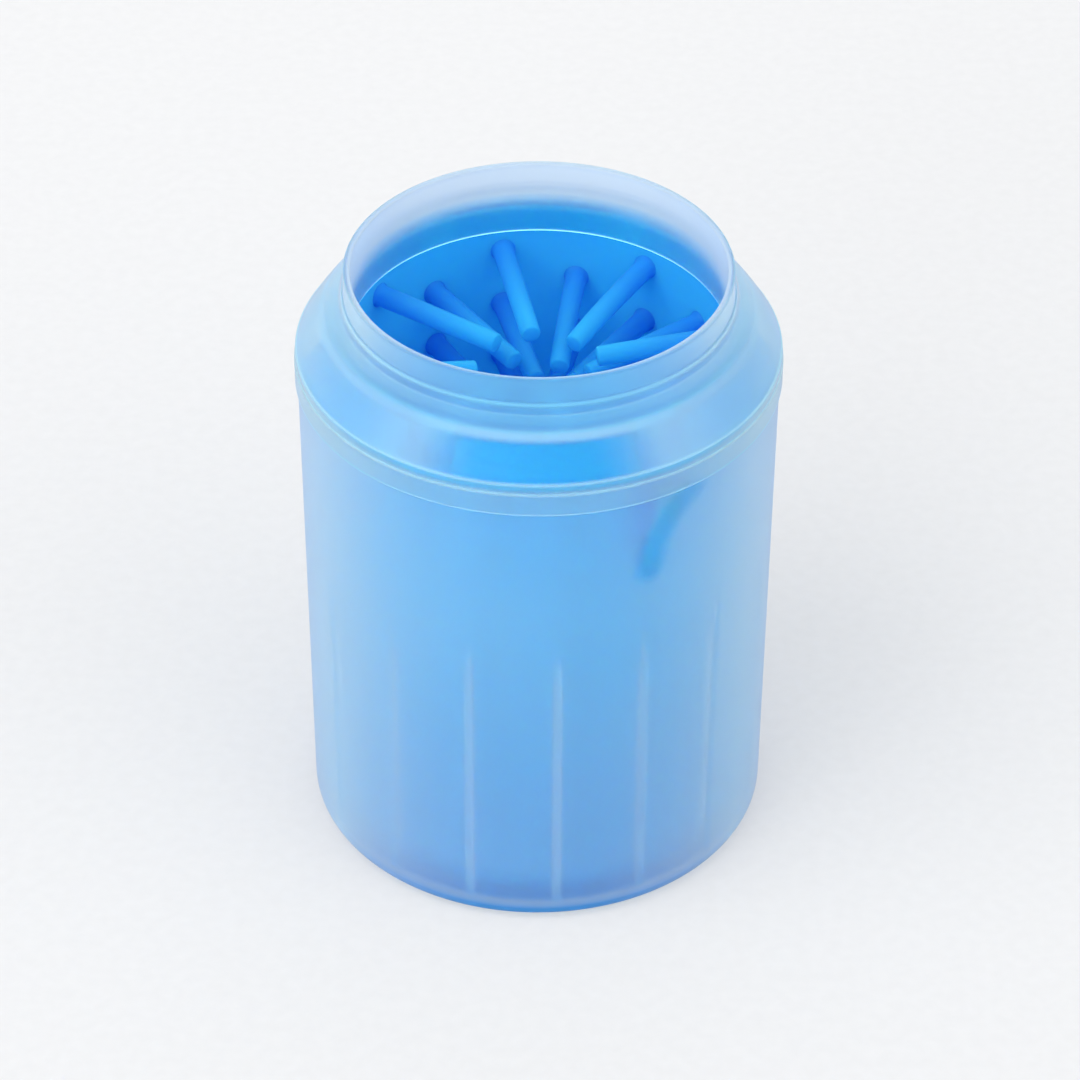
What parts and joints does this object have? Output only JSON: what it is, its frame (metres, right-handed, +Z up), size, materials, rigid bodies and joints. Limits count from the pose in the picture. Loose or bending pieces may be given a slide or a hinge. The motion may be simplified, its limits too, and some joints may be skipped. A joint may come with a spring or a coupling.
{
  "type": "paw washer cup",
  "caption": "Hand-held cup for rinsing a pet's muddy paw: a frosted cup with a push-on open collar and a removable soft sleeve of inward-pointing bristles.",
  "frame": {"origin": "centre of the base, on the plane that the cup stands on", "axes": "+Z up along the cup's axis, -Y to the front, +X to the right seen from the front"},
  "size_m": [0.1048, 0.1048, 0.14],
  "materials": {
    "frosted_plastic": "frosted translucent, milky, faint satin sheen",
    "blue_silicone": "soft matt silicone"
  },
  "bodies": {
    "cup": {"cup": "frosted_plastic"},
    "sleeve": {"bristle_sleeve": "blue_silicone", "bristles": "blue_silicone"},
    "collar": {"collar": "frosted_plastic"}
  },
  "joints": [
    {"name": "sleeve_lift", "type": "slide", "parent": "cup", "child": "sleeve", "axis": [0, 0, 1], "range_m": [0, 0.13]},
    {"name": "collar_lift", "type": "slide", "parent": "sleeve", "child": "collar", "axis": [0, 0, 1], "range_m": [0, 0.04]}
  ]
}
